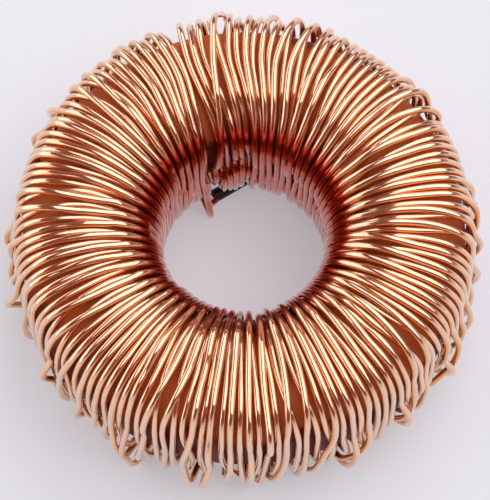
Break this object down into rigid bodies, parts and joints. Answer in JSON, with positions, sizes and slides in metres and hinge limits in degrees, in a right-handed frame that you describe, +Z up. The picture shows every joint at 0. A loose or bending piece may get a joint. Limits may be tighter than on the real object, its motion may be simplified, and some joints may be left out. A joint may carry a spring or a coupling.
{
  "type": "toroidal inductor",
  "caption": "Coated powder ring wound in crossing layers with enamelled copper wire, with two tinned leads; stores energy and blocks ripple in a power circuit.",
  "frame": {"origin": "on the ring's axis, in the plane that the lowest turns and the leads lie on", "axes": "+Z up along the ring's axis; +Y from the axis towards the side where both leads leave; +X to the right, seen from the front with the leads at the back"},
  "size_m": [0.0307, 0.0334, 0.0129],
  "materials": {
    "core": "pressed iron powder under a bonded yellow epoxy coating",
    "winding": "copper wire under clear amber enamel, with scraped and tinned tips",
    "lead_sleeve": "black flexible sleeving"
  },
  "bodies": {
    "root": {"core": "core", "winding": "winding", "lead_sleeve": "lead_sleeve"}
  },
  "joints": []
}
